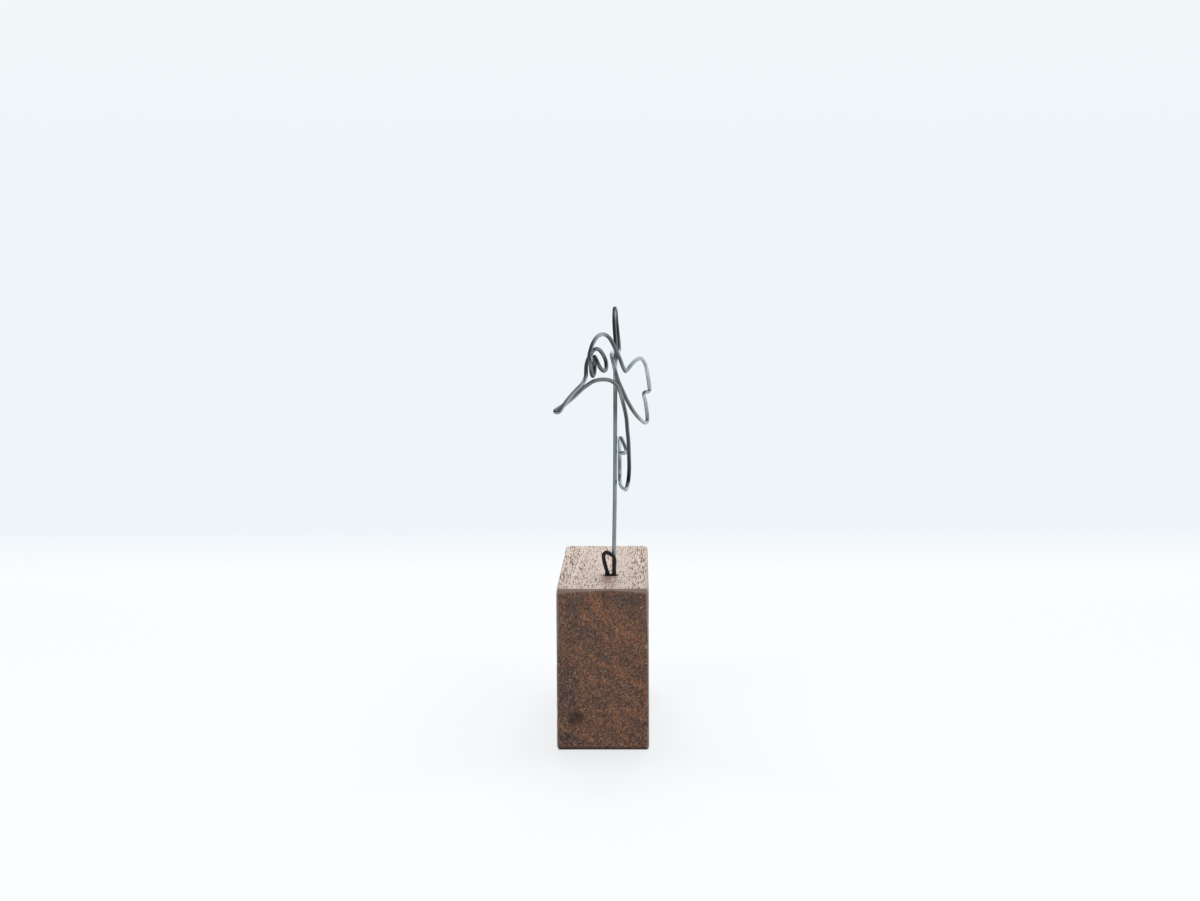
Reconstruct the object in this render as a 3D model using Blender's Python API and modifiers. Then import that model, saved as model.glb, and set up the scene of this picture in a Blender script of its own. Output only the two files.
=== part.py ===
"""Bird bent from one length of annealed iron wire, standing on a post in a walnut block.

Frame: origin at the centre of the block's underside, +Z up, +Y along the block away from the
bird's beak, +X to the right of someone who faces the block's front end. Lengths are in metres.
"""
import math

import bpy
import numpy as np

MM = 0.001

# Walnut block, lying on a long narrow side
BLOCK_WIDTH = 27.0 * MM
BLOCK_LENGTH = 100.0 * MM
BLOCK_HEIGHT = 47.5 * MM
BLOCK_EDGE = 0.7 * MM
BLOCK_EDGE_STEPS = 2

# Drilled hole that the post and the small loop stand in
HOLE_DIAMETER = 4.2 * MM
HOLE_DEPTH = 22.0 * MM
HOLE_RIGHT = 2.15 * MM
HOLE_BACK = -20.5 * MM
HOLE_SIDES = 32

# Iron wire of the bird and its post
WIRE_DIAMETER = 1.2 * MM
POST_IN_HOLE = 21.5
POST_FROM_HOLE = (0.85, 0.85)

# Thinner black wire of the small loop in front of the post
LOOP_WIRE_DIAMETER = 1.06 * MM
LOOP_IN_HOLE = 10.0

# Tight bends, by the radius of the wire's centre line
NOTCH_BEND = 0.75
TAIL_BEND = 0.85
POINTS_PER_BEND = 5

# How closely the drawn path follows the bends
LONGEST_STEP = 5.0
LARGEST_TURN = math.radians(17.0)
SAMPLES_PER_KEY = 40

# The head and the breast lie in one upright plane, turned from the block's long axis
BODY_TURN = math.radians(28.0)
BODY_RIGHT = 1.8
BODY_BACK = 0.3

# Beak: two strands laid together and twisted a little, joined by a hairpin at the tip; the
# strands' offset from its centre line and their angle round it are given for base and tip
BEAK_BASE = (-9.05, -19.15, 58.15)
BEAK_TIP = (-15.85, -27.6, 51.8)
STRAND_OFFSET = (0.63, 0.72)
BEAK_TWIST = (math.radians(92.0), math.radians(190.0))
BEAK_STATIONS = 7


def in_body_plane(forward, up, aside=0.0):
    """A point of the body plane as (right, back, up) millimetres from the post's foot."""
    right = BODY_RIGHT - forward * math.sin(BODY_TURN) + aside * math.cos(BODY_TURN)
    back = BODY_BACK - forward * math.cos(BODY_TURN) - aside * math.sin(BODY_TURN)
    return (right, back, up)


def unit(vector):
    return vector / np.linalg.norm(vector)


def bend(before, corner, after, radius):
    """Points round a corner, on the arc that meets both of its straight sides."""
    corner = np.array(corner)
    to_before = unit(np.array(before) - corner)
    to_after = unit(np.array(after) - corner)
    half = math.acos(np.dot(to_before, to_after)) / 2.0
    inward = unit(to_before + to_after)
    along = unit(to_after - to_before)
    centre = corner + inward * radius / math.sin(half)
    sweep = math.pi / 2.0 - half
    return [
        tuple(centre + radius * (along * math.sin(angle) - inward * math.cos(angle)))
        for angle in np.linspace(-sweep, sweep, POINTS_PER_BEND)
    ]


def post():
    """From the bottom of the hole, a hair off plumb, up to the shoulder."""
    return [
        (0.0, 0.0, -POST_IN_HOLE),
        (0.0, 0.0, 0.0),
        (0.4, 0.0, 23.0),
        (0.6, 0.0, 40.0),
        (0.65, 0.0, 54.0),
        (0.7, 0.0, 63.5),
    ]


def raised_wing():
    """Leading edge up and back, a narrow tip, and the trailing edge down behind it."""
    return [
        (0.88, 0.6, 67.5),
        (0.7, 3.0, 71.2),
        (0.4, 6.3, 75.4),
        (0.35, 9.4, 78.8),
        (0.5, 11.7, 80.35),
        (0.75, 13.4, 79.4),
        (0.95, 13.9, 76.5),
        (1.2, 13.2, 72.5),
        (1.5, 11.9, 69.0),
        (1.5, 10.0, 67.2),
    ]


def spread_wing():
    """Past the shoulder, down the trailing edge, round the stepped tip and back to the neck."""
    shoulder = [
        (0.7, 6.0, 67.2),
        (-0.25, 2.4, 67.3),
        (-0.4, 0.25, 66.6),
        (0.0, -1.15, 64.9),
    ]
    trailing_edge = [
        (0.6, -1.45, 62.2),
        (1.5, -1.15, 59.1),
        (2.85, 0.9, 55.8),
        (4.35, 4.3, 52.3),
        (6.4, 8.5, 48.6),
        (8.4, 12.8, 46.0),
        (9.7, 15.9, 44.95),
    ]
    lower_corner = [
        (10.3, 17.4, 45.3),
        (10.35, 17.7, 47.0),
        (9.9, 17.4, 50.6),
    ]
    leading_edge = [
        (10.85, 17.9, 57.2),
        (10.4, 17.4, 60.2),
        (9.75, 16.4, 63.0),
        (8.6, 14.7, 64.8),
        (7.1, 12.1, 64.6),
        (5.4, 8.5, 63.15),
        (4.2, 5.6, 61.75),
    ]
    notch_inside = (9.1, 16.6, 54.4)
    notch_outside = (11.2, 18.2, 54.4)
    notch = bend(lower_corner[-1], notch_inside, notch_outside, NOTCH_BEND)
    notch += bend(notch_inside, notch_outside, leading_edge[0], NOTCH_BEND)
    return shoulder + trailing_edge + lower_corner + notch + leading_edge


def head():
    """Up the nape and over the crown to the face: (forward, up, aside) in the body plane."""
    nape = [(-3.9, 61.6), (-2.2, 63.0, 0.1), (-0.3, 64.9, 0.4), (1.2, 66.6, 0.45), (3.3, 69.5, 0.1)]
    crown = [(6.0, 72.0), (9.5, 73.2), (13.2, 72.7), (16.2, 70.7), (17.6, 68.7)]
    return [in_body_plane(*point) for point in nape + crown]


def eye():
    """Two turns of the wire: each runs down its near side, up its far side and over its top."""
    inner = [
        (-6.75, -15.5, 67.6),
        (-6.65, -15.95, 65.95),
        (-6.4, -15.85, 64.35),
        (-6.25, -15.1, 62.6),
        (-6.1, -14.1, 61.5),
        (-5.85, -13.0, 61.05),
        (-5.55, -11.9, 61.5),
        (-5.35, -11.1, 62.75),
        (-5.35, -10.85, 64.2),
        (-5.45, -11.2, 65.6),
        (-5.5, -12.1, 66.5),
        (-5.35, -13.2, 66.8),
        (-5.05, -14.2, 66.5),
    ]
    outer = [
        (-4.6, -14.85, 65.7),
        (-4.05, -15.05, 64.4),
        (-3.4, -14.55, 63.3),
        (-2.65, -13.2, 62.6),
        (-2.05, -11.7, 62.85),
        (-1.85, -10.6, 63.8),
        (-2.0, -10.0, 65.2),
        (-2.5, -9.95, 66.6),
        (-3.2, -10.4, 67.85),
        (-4.0, -11.2, 68.75),
        (-4.85, -12.0, 69.05),
    ]
    return inner + outer


def cheek():
    """From the top of the outer turn, across behind the face, and down beside it to the beak."""
    return [
        (-5.65, -12.5, 68.6),
        (-6.55, -12.7, 67.35),
        (-7.25, -13.2, 65.9),
        (-7.7, -14.1, 64.25),
        (-7.8, -14.9, 62.55),
        (-7.85, -15.6, 61.25),
        (-8.25, -16.8, 60.1),
    ]


def beak():
    """Out along one strand, round the hairpin and back along the other.

    Each strand keeps its offset from the beak's centre line, at an angle that turns from base to
    tip, ever faster; the second strand is half a turn from the first.
    """
    base = np.array(BEAK_BASE)
    tip = np.array(BEAK_TIP)
    along = unit(tip - base)
    across = unit(np.cross(along, (0.0, 0.0, 1.0)))
    rise = np.cross(across, along)

    def offset(share, half_turns):
        angle = BEAK_TWIST[0] + (BEAK_TWIST[1] - BEAK_TWIST[0]) * share ** 2 + math.pi * half_turns
        size = STRAND_OFFSET[0] + (STRAND_OFFSET[1] - STRAND_OFFSET[0]) * share
        return (math.cos(angle) * across + math.sin(angle) * rise) * size

    shares = np.linspace(0.0, 1.0, BEAK_STATIONS)
    out = [base + (tip - base) * share + offset(share, 0) for share in shares]
    hairpin = []
    for angle in np.radians((36.0, 72.0, 108.0, 144.0)):
        hairpin.append(tip + offset(1.0, 0) * math.cos(angle) + along * STRAND_OFFSET[1] * math.sin(angle))
    back = [base + (tip - base) * share + offset(share, 1) for share in shares[::-1]]
    return [tuple(point) for point in out + hairpin + back]


def breast():
    """From the beak's root in an arch under the head to the front of the post."""
    arch = [(20.1, 58.4, -0.1), (18.1, 59.05), (15.3, 59.6), (11.0, 59.8), (6.5, 59.4), (4.1, 58.75, 0.1)]
    return [in_body_plane(*point) for point in arch]


def belly():
    """Down beside the post and gently forward, to the corner of the tail."""
    return [
        (1.2, -2.0, 57.6),
        (2.0, -1.3, 55.9),
        (2.75, -0.9, 53.3),
        (3.45, -1.2, 50.5),
        (4.0, -1.8, 47.8),
        (4.3, -2.6, 44.3),
        (4.6, -3.5, 41.0),
        (4.75, -4.7, 36.8),
        (4.8, -6.0, 32.6),
        (4.5, -7.4, 29.2),
    ]


def tail():
    """Along the end of the tail, up its back edge and round into a small closed hook."""
    corner = bend((4.65, -6.8, 30.6), (3.95, -8.85, 26.45), (2.5, -4.0, 27.3), TAIL_BEND)
    end_edge = [
        (2.5, -4.0, 27.3),
        (2.05, 0.0, 28.2),
        (1.95, 1.3, 29.6),
    ]
    back_edge = [
        (1.95, 1.6, 32.4),
        (1.95, 1.8, 36.5),
    ]
    hook_top = bend(back_edge[-1], (1.95, 1.3, 42.3), (3.6, -1.9, 39.8), TAIL_BEND)
    hook_end = bend((3.3, -1.3, 40.4), (4.2, -3.0, 37.3), (1.95, 0.3, 37.1), TAIL_BEND)
    wire_end = [(2.65, -0.7, 37.1), (1.95, 0.3, 37.1)]
    return corner + end_edge + back_edge + hook_top + hook_end + wire_end


def small_loop():
    """Up out of the hole, over a slanting top and down in front of the post."""
    return [
        (-1.85, -0.85, -LOOP_IN_HOLE),
        (-1.85, -0.85, 0.0),
        (-2.4, -0.95, 2.4),
        (-3.0, -1.05, 4.9),
        (-3.05, -1.1, 6.1),
        (-2.35, -1.2, 6.95),
        (-1.3, -1.3, 6.6),
        (-0.2, -1.45, 5.9),
        (0.25, -1.55, 4.9),
        (0.2, -1.65, 2.6),
        (0.1, -1.7, 0.0),
        (0.1, -1.7, -LOOP_IN_HOLE),
    ]


def smooth_curve(keys):
    """Centripetal Catmull-Rom curve through the key points, finely sampled."""
    keys = np.array(keys, dtype=float)
    keys = np.vstack([2.0 * keys[0] - keys[1], keys, 2.0 * keys[-1] - keys[-2]])
    shares = np.linspace(0.0, 1.0, SAMPLES_PER_KEY, endpoint=False)[:, None]
    stretches = []
    for first in range(len(keys) - 3):
        p0, p1, p2, p3 = keys[first:first + 4]
        t1 = math.sqrt(np.linalg.norm(p1 - p0))
        t2 = t1 + math.sqrt(np.linalg.norm(p2 - p1))
        t3 = t2 + math.sqrt(np.linalg.norm(p3 - p2))
        t = t1 + (t2 - t1) * shares
        a1 = p0 + (p1 - p0) * t / t1
        a2 = p1 + (p2 - p1) * (t - t1) / (t2 - t1)
        a3 = p2 + (p3 - p2) * (t - t2) / (t3 - t2)
        b1 = a1 + (a2 - a1) * t / t2
        b2 = a2 + (a3 - a2) * (t - t1) / (t3 - t1)
        stretches.append(b1 + (b2 - b1) * (t - t1) / (t2 - t1))
    return np.vstack(stretches + [keys[-2:-1]])


def thin_out(path):
    """Fewer points: a new one wherever the wire has run LONGEST_STEP or turned LARGEST_TURN."""
    steps = np.diff(path, axis=0)
    lengths = np.linalg.norm(steps, axis=1)
    headings = steps / lengths[:, None]
    cosines = np.clip(np.sum(headings[1:] * headings[:-1], axis=1), -1.0, 1.0)
    turns = np.concatenate([[0.0], np.arccos(cosines)])
    need = np.concatenate([[0.0], np.cumsum(lengths / LONGEST_STEP + turns / LARGEST_TURN)])
    count = math.ceil(need[-1]) + 1
    wanted = np.linspace(0.0, need[-1], count)
    return np.column_stack([np.interp(wanted, need, path[:, axis]) for axis in range(3)])


def make_material(name, colour, roughness, metallic):
    material = bpy.data.materials.new(name)
    material.use_nodes = True
    shader = material.node_tree.nodes["Principled BSDF"]
    shader.inputs["Base Color"].default_value = (*colour, 1.0)
    shader.inputs["Roughness"].default_value = roughness
    shader.inputs["Metallic"].default_value = metallic
    return material


def make_wire(name, keys, diameter, material, collection):
    """A round wire along the smoothed key points, placed with its zero at the post's foot."""
    path = thin_out(smooth_curve(keys)) * MM
    curve = bpy.data.curves.new(name, "CURVE")
    curve.dimensions = "3D"
    curve.bevel_depth = diameter / 2.0
    curve.bevel_resolution = 2
    curve.use_fill_caps = True
    curve.materials.append(material)
    spline = curve.splines.new("POLY")
    spline.points.add(len(path) - 1)
    spline.points.foreach_set("co", np.column_stack([path, np.ones(len(path))]).ravel())
    wire = bpy.data.objects.new(name, curve)
    wire.location = (
        HOLE_RIGHT + POST_FROM_HOLE[0] * MM,
        HOLE_BACK + POST_FROM_HOLE[1] * MM,
        BLOCK_HEIGHT,
    )
    collection.objects.link(wire)
    return wire


def move_to(item, collection):
    for owner in list(item.users_collection):
        owner.objects.unlink(item)
    collection.objects.link(item)


def make_hole_cutter(collection):
    """A plain cylinder that reaches from the floor of the hole to just above the block."""
    overshoot = 2.0 * MM
    height = HOLE_DEPTH + overshoot
    bpy.ops.mesh.primitive_cylinder_add(
        vertices=HOLE_SIDES,
        radius=HOLE_DIAMETER / 2.0,
        depth=height,
        location=(HOLE_RIGHT, HOLE_BACK, BLOCK_HEIGHT - HOLE_DEPTH + height / 2.0),
    )
    cutter = bpy.context.object
    cutter.name = "hole_cutter"
    cutter.display_type = "WIRE"
    cutter.hide_render = True
    move_to(cutter, collection)
    return cutter


def make_block(material, collection, cutter):
    """The block with its sanded edges and the drilled hole."""
    bpy.ops.mesh.primitive_cube_add(size=1.0, location=(0.0, 0.0, BLOCK_HEIGHT / 2.0))
    block = bpy.context.object
    block.name = "walnut_block"
    block.scale = (BLOCK_WIDTH, BLOCK_LENGTH, BLOCK_HEIGHT)
    bpy.ops.object.transform_apply(location=False, rotation=False, scale=True)
    edges = block.modifiers.new("sanded edges", "BEVEL")
    edges.width = BLOCK_EDGE
    edges.segments = BLOCK_EDGE_STEPS
    hole = block.modifiers.new("drilled hole", "BOOLEAN")
    hole.operation = "DIFFERENCE"
    hole.solver = "EXACT"
    hole.object = cutter
    block.data.materials.append(material)
    move_to(block, collection)
    return block


def main():
    for item in list(bpy.data.objects):
        bpy.data.objects.remove(item, do_unlink=True)
    parts = bpy.data.collections.new("wire_bird_sculpture")
    cutters = bpy.data.collections.new("cutters")
    bpy.context.scene.collection.children.link(parts)
    bpy.context.scene.collection.children.link(cutters)

    walnut = make_material("walnut", (0.10, 0.045, 0.028), 0.55, 0.0)
    iron = make_material("annealed_iron", (0.09, 0.095, 0.10), 0.38, 0.7)
    black = make_material("black_wire", (0.012, 0.012, 0.014), 0.40, 0.3)

    make_block(walnut, parts, make_hole_cutter(cutters))
    stretches = (post, raised_wing, spread_wing, head, eye, cheek, beak, breast, belly, tail)
    bird = [point for stretch in stretches for point in stretch()]
    make_wire("bird_wire", bird, WIRE_DIAMETER, iron, parts)
    make_wire("base_loop", small_loop(), LOOP_WIRE_DIAMETER, black, parts)


main()
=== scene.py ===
"""Wire bird on a walnut block: the finish of every piece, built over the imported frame.

Frame: origin at the centre of the block's underside, +Z up, +Y along the block away from the
bird's beak, +X to the right of someone who faces the block's front end. Blender's own values are
in metres. The wires' points are millimetres from the post's foot, where the post leaves its hole,
and the block's surface is worked out in millimetres from the frame's origin.
"""

import math

import bpy
import numpy as np
from bpy.props import FloatProperty, FloatVectorProperty, IntProperty, PointerProperty
from mathutils import Matrix, Vector


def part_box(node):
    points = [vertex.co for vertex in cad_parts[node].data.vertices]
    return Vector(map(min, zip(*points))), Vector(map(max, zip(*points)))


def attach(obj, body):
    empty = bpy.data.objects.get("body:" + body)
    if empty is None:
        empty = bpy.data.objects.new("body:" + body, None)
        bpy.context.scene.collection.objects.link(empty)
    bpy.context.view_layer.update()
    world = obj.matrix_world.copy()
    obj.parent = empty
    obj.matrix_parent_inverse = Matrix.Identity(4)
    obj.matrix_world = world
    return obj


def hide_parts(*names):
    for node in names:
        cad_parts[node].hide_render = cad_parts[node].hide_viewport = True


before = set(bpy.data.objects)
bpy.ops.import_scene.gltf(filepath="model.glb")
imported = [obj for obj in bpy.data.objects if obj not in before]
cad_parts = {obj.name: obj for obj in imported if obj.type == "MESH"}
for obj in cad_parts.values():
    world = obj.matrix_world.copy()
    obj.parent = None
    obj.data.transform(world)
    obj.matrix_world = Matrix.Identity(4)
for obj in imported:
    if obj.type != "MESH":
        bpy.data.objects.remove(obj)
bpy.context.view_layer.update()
BLOCK_LOW, BLOCK_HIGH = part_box("walnut_block")

bl_info = {
    "name": "Wire Bird on a Walnut Block",
    "version": (1, 0, 0),
    "blender": (4, 5, 0),
    "location": "View3D > Sidebar > Wire Bird",
    "description": "Builds a bird bent from one iron wire, its walnut block and a plain stage",
    "category": "Object",
}

MM = 0.001

# The head and the breast lie in one upright plane, turned from the block's long axis
BODY_TURN = math.radians(28.0)
BODY_RIGHT = 1.8
BODY_BACK = 0.3

# Beak: two strands laid together and twisted a little, joined by a hairpin at the tip
BEAK_BASE = (-9.05, -19.15, 58.15)
BEAK_TIP = (-15.85, -27.6, 51.8)
STRAND_OFFSET = (0.63, 0.72)
BEAK_TWIST = (math.radians(92.0), math.radians(190.0))
BEAK_STATIONS = 7

# Tight bends, by the radius of the wire's centre line
NOTCH_BEND = 0.75
TAIL_BEND = 0.85
POINTS_PER_BEND = 5

# Points along a wire: first so many from key to key, then one for each step or turn of that size
SAMPLES_PER_KEY = 60
BIRD_STEP = 0.22
LOOP_STEP = 0.20
LARGEST_TURN = math.radians(6.0)

# Depths to which the two wires stand in the hole, the post's place from the hole's centre, and
# how far up the black coat's thick foot reaches
POST_IN_HOLE = 21.5
LOOP_IN_HOLE = 10.0
POST_FROM_HOLE = (0.85, 0.85)
FOOT_HEIGHT = 0.8

# Marks that pliers leave: how deep they are and how far apart their ribs lie
GRIP_DEPTH = 0.045
RIB_PITCH = 0.5

# Points of the block's skin: across an end, along a side, out over the top from the hole, down
# the sides, and across the underside
END_POINTS = 84
SIDE_POINTS = 196
TOP_ROWS = 62
DOWN_ROWS = 66
UNDER_ROWS = 24

# Pith of the tree that the block was sawn from, right of the block and above it: (right, up)
PITH = (54.0, 96.0)

# Blackened wood: scorched, which also paints the shade along the block's foot, and sooty, which
# also paints the shade inside the hole; and the dry pale wood that a scratch lays open
SCORCHED_AND_FOOT_SHADE = (0.020, 0.011, 0.008)
SOOT_AND_HOLE_SHADE = (0.014, 0.010, 0.009)
SCRATCHED = (0.42, 0.37, 0.33)

# The colour of paper and card that give no light back
BLACK = (0.0, 0.0, 0.0)

# The rest is in metres. The table's half width, where its paper turns into the background's own
# colour, counted from the middle, and the share of that which a metre to the side counts for
TABLE_REACH = 2.5
GROUND_BLEND = (0.30, 0.52)
SIDE_SHARE = 0.66

# Where the table's glow fades towards the back, and the block's painted shadow on it: the glow
# painted dimmer within a span of the block, and black under the block and just past its foot
GLOW_FALL = (-0.25, 0.30)
PAINTED_SHADOW_SPAN = (0.07, 0.0)
PAINTED_CONTACT_SHADOW = (-0.9 * MM, 0.1 * MM)

# The grey card's half width, the dark cloth's two corners, and how high both lie
CARD_REACH = 0.11
CLOTH_CORNERS = ((-TABLE_REACH, -0.12), (-0.22, TABLE_REACH))
CARD_LIFT = 0.2 * MM

# Where the two lamps hang, and how wide they are
TOP_LAMP = (0.0, 0.25, 1.20)
BACK_LAMP = (0.0, 1.60, 1.00)
LAMP_SIZE = 0.8

# The camera's place, and how far it is tipped down, turned right and rolled anticlockwise
CAMERA_PLACE = (0.011, -0.7508, 0.1494)
CAMERA_PITCH = math.radians(5.01)
CAMERA_YAW = math.radians(-0.942)
CAMERA_ROLL = math.radians(-0.249)


# ---------------------------------------------------------------- sizes and colours to change


def colour_property(name, description, default):
    return FloatVectorProperty(
        name=name, description=description, default=default, subtype="COLOR", size=3, min=0.0, max=1.0
    )


def length_property(name, description, default):
    return FloatProperty(
        name=name, description=description, default=default, unit="LENGTH", min=0.0, precision=5
    )


def share_property(name, description, default):
    return FloatProperty(
        name=name, description=description, default=default, subtype="FACTOR", min=0.0, max=1.0
    )


def strength_property(name, description, default):
    return FloatProperty(name=name, description=description, default=default, min=0.0)


def sides_property():
    return IntProperty(name="Sides", description="Faces round the wire", default=28, min=8, max=48)


class WalnutSettings(bpy.types.PropertyGroup):
    """Sizes and colours of the walnut block."""

    hole_diameter: length_property("Hole diameter", "Diameter of the drilled hole", 4.2 * MM)
    hole_depth: length_property("Hole depth", "Depth of the drilled hole", 22.0 * MM)
    hole_right: length_property("Hole right", "Hole's centre, right of the block's middle", 2.15 * MM)
    hole_front: length_property("Hole front", "Hole's centre, in front of the block's middle", 20.5 * MM)
    edge: length_property("Edge rounding", "Rounding of a sanded edge", 0.7 * MM)
    rim: length_property("Rim rounding", "Worn rounding of the hole's rim", 0.16 * MM)
    pale: colour_property("Pale long grain", "Lighter wood of the long faces", (0.456, 0.372, 0.320))
    brown: colour_property("Brown long grain", "Darker bands of the long faces", (0.322, 0.250, 0.207))
    vessel: colour_property("Vessels", "Open pores of the long faces", (0.082, 0.034, 0.020))
    dark: colour_property("Dark end grain", "Darker wood of the sawn ends", (0.127, 0.079, 0.064))
    warm: colour_property("Warm end grain", "Reddish bands of the sawn ends", (0.306, 0.136, 0.070))
    freckle: colour_property("Freckles", "Pale dust caught in the end grain", (0.45, 0.33, 0.24))
    # Rubbed edges: real wear, and a painted highlight where the rounded edges catch light
    rubbed: colour_property("Rubbed edges", "Dry grey-brown wood of rubbed edges", (0.335, 0.270, 0.247))
    # Sanded strip: paler sanded wood, painted lighter still as painted light on it
    facet_and_painted_light: colour_property("Sanded strip", "Strip sanded along the top's front edge", (0.335, 0.238, 0.196))
    stain: colour_property("Stain", "Rust-brown stain in front of the hole", (0.170, 0.078, 0.045))
    roughness: share_property("Roughness", "Roughness of the bare sanded wood", 0.56)


class IronSettings(bpy.types.PropertyGroup):
    """Size and colours of the bird's annealed iron wire."""

    diameter: length_property("Wire diameter", "Diameter of the drawn wire", 1.23 * MM)
    sides: sides_property()
    grey: colour_property("Grey iron", "Drawn iron under its thin oxide", (0.295, 0.326, 0.333))
    scale: colour_property("Dark scale", "Darker oxide left by the annealing", (0.240, 0.268, 0.274))
    rust: colour_property("Rust", "First freckles of rust", (0.130, 0.066, 0.038))
    bright: colour_property("Bright metal", "Metal laid bare by the pliers", (0.380, 0.398, 0.402))
    roughness: share_property("Roughness", "Roughness of the drawn surface", 0.27)


class BlackWireSettings(bpy.types.PropertyGroup):
    """Size and colours of the small loop's black wire."""

    diameter: length_property("Wire diameter", "Diameter of the coated wire", 1.18 * MM)
    sides: sides_property()
    black: colour_property("Black coat", "The wire's black coat", (0.010, 0.010, 0.011))
    foot: share_property("Thick foot", "How much thicker the coat is where it leaves the block", 0.32)
    # The worn coat also paints the highlight on the loop's top
    worn: colour_property("Worn coat", "Greyer coat where the loop is handled", (0.042, 0.043, 0.046))
    roughness: share_property("Roughness", "Roughness of the coat", 0.42)


class StageSettings(bpy.types.PropertyGroup):
    """Floor, light and camera."""

    paper: colour_property("Paper", "Light that the table's paper gives back", (0.105, 0.105, 0.105))
    glow: colour_property("Table glow", "Light that comes up through the paper", (0.805, 0.815, 0.830))
    haze: colour_property("Background", "Pale background at eye level", (0.855, 0.913, 0.944))
    high_haze: colour_property("High background", "Pale background further up", (0.896, 0.939, 0.956))
    ceiling: strength_property("Ceiling", "Brightness of the ceiling's pale side", 1.03)
    gap: strength_property("Dim ceiling", "Brightness of the ceiling's dim side", 0.16)
    window: strength_property("Window", "Brightness of the window on the right", 0.8)
    wall: strength_property("Walls", "Brightness of the walls", 0.25)
    card: strength_property("Grey card", "Brightness of the card round the block", 0.45)
    cloth: strength_property("Dark cloth", "Brightness of the cloth on the left", 0.2)
    top_lamp: strength_property("Top lamp", "Power of the lamp above the table", 13.0)
    back_lamp: strength_property("Back lamp", "Power of the lamp behind the table", 34.0)
    lens: FloatProperty(name="Lens", description="Focal length", default=72.9, min=1.0, unit="CAMERA")


# ---------------------------------------------------------------- shader sums and node trees


class Value:
    """A socket to reckon with: each operator adds the Math node that works it out."""

    def __init__(self, tree, socket):
        self.tree = tree
        self.socket = socket

    def __add__(self, other):
        return self.tree.math("ADD", self, other)

    __radd__ = __add__

    def __sub__(self, other):
        return self.tree.math("SUBTRACT", self, other)

    def __rsub__(self, other):
        return self.tree.math("SUBTRACT", other, self)

    def __mul__(self, other):
        return self.tree.math("MULTIPLY", self, other)

    __rmul__ = __mul__

    def __truediv__(self, other):
        return self.tree.math("DIVIDE", self, other)

    def __rtruediv__(self, other):
        return self.tree.math("DIVIDE", other, self)

    def above(self, edge):
        return self.tree.math("GREATER_THAN", self, edge)

    def ramp(self, low, high):
        """0 up to low, 1 from high on, and a smooth step between; low may be the larger."""
        if low > high:
            return 1.0 - self.ramp(high, low)
        sockets = {"Value": self, "From Min": low, "From Max": high}
        return self.tree.add("ShaderNodeMapRange", {"interpolation_type": "SMOOTHSTEP"}, sockets)


class NodeTree:
    """The nodes of a material or of the world, each added by one method."""

    def __init__(self, owner):
        owner.use_nodes = True
        self.owner = owner
        self.nodes = owner.node_tree.nodes
        self.links = owner.node_tree.links

    def add(self, kind, settings=None, sockets=None, output=0):
        """A node of that type: its settings first, then its sockets' values or links."""
        node = self.nodes.new(kind)
        for name, setting in (settings or {}).items():
            setattr(node, name, setting)
        for name, term in (sockets or {}).items():
            self.feed(node.inputs[name], term)
        return Value(self, node.outputs[output])

    def feed(self, socket, term):
        """Link a worked-out value to the socket, or set it to a number, a vector or a colour."""
        if isinstance(term, Value):
            self.links.new(term.socket, socket)
        elif socket.type == "RGBA":
            socket.default_value = (*term, 1.0)
        else:
            socket.default_value = term

    def set_shader(self, **sockets):
        """The Principled shader's sockets, with spaces in their names as underscores."""
        shader = self.nodes["Principled BSDF"]
        for name, term in sockets.items():
            self.feed(shader.inputs[name.replace("_", " ")], term)

    def math(self, operation, *terms):
        """One Math node on numbers and worked-out values."""
        return self.add("ShaderNodeMath", {"operation": operation}, dict(enumerate(terms)))

    def axes(self, vector):
        """The three numbers of a vector."""
        parts = self.add("ShaderNodeSeparateXYZ", None, {0: vector}).socket.node
        return [Value(self, parts.outputs[axis]) for axis in "XYZ"]

    def attribute(self, name, output="Fac"):
        """A named value that the piece keeps on its points."""
        return self.add("ShaderNodeAttribute", {"attribute_name": name}, output=output)

    def place(self):
        """Each point's place on its piece, in metres."""
        return self.add("ShaderNodeTexCoord", output="Object")

    def mix(self, share, first, second):
        """The second colour over the first by a share; both may be links or plain colours."""
        sockets = {0: share, 6: first, 7: second}
        return self.add("ShaderNodeMix", {"data_type": "RGBA"}, sockets, output=2)

    def vector_math(self, operation, *terms):
        """One Vector Math node on vectors or colours."""
        return self.add("ShaderNodeVectorMath", {"operation": operation}, dict(enumerate(terms)))

    def lit(self, colour, strength):
        """A colour times a number."""
        sockets = {0: colour, "Scale": strength}
        return self.add("ShaderNodeVectorMath", {"operation": "SCALE"}, sockets)

    def stretched(self, vector, scale, shift=(0.0, 0.0, 0.0)):
        """A vector scaled by its axes, then moved."""
        return self.vector_math("MULTIPLY_ADD", vector, scale, shift)

    def noise(self, vector, detail=2.0, roughness=0.5, distortion=0.0):
        """Cloudy noise whose largest clouds are about one unit of the vector across."""
        sockets = {"Vector": vector, "Scale": 1.0, "Detail": detail}
        sockets.update({"Roughness": roughness, "Distortion": distortion})
        return self.add("ShaderNodeTexNoise", None, sockets)

    def cells(self, vector):
        """Distance to the nearest of scattered points, and a random number for each point."""
        distance = self.add("ShaderNodeTexVoronoi", None, {"Vector": vector, "Scale": 1.0})
        colour = Value(self, distance.socket.node.outputs["Color"])
        return distance, self.add("ShaderNodeSeparateColor", None, {0: colour})

    def dots(self, vector, size, core, rarity):
        """1 within the core's distance of scattered points, 0 beyond the size, at the few points
        whose random number is above the rarity."""
        distance, chance = self.cells(vector)
        return distance.ramp(size, core) * chance.above(rarity)

    def bump(self, height, distance, strength):
        """The surface's normal, tipped by a relief of that depth in metres."""
        sockets = {"Height": height, "Distance": distance, "Strength": strength}
        return self.add("ShaderNodeBump", None, sockets)


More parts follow.
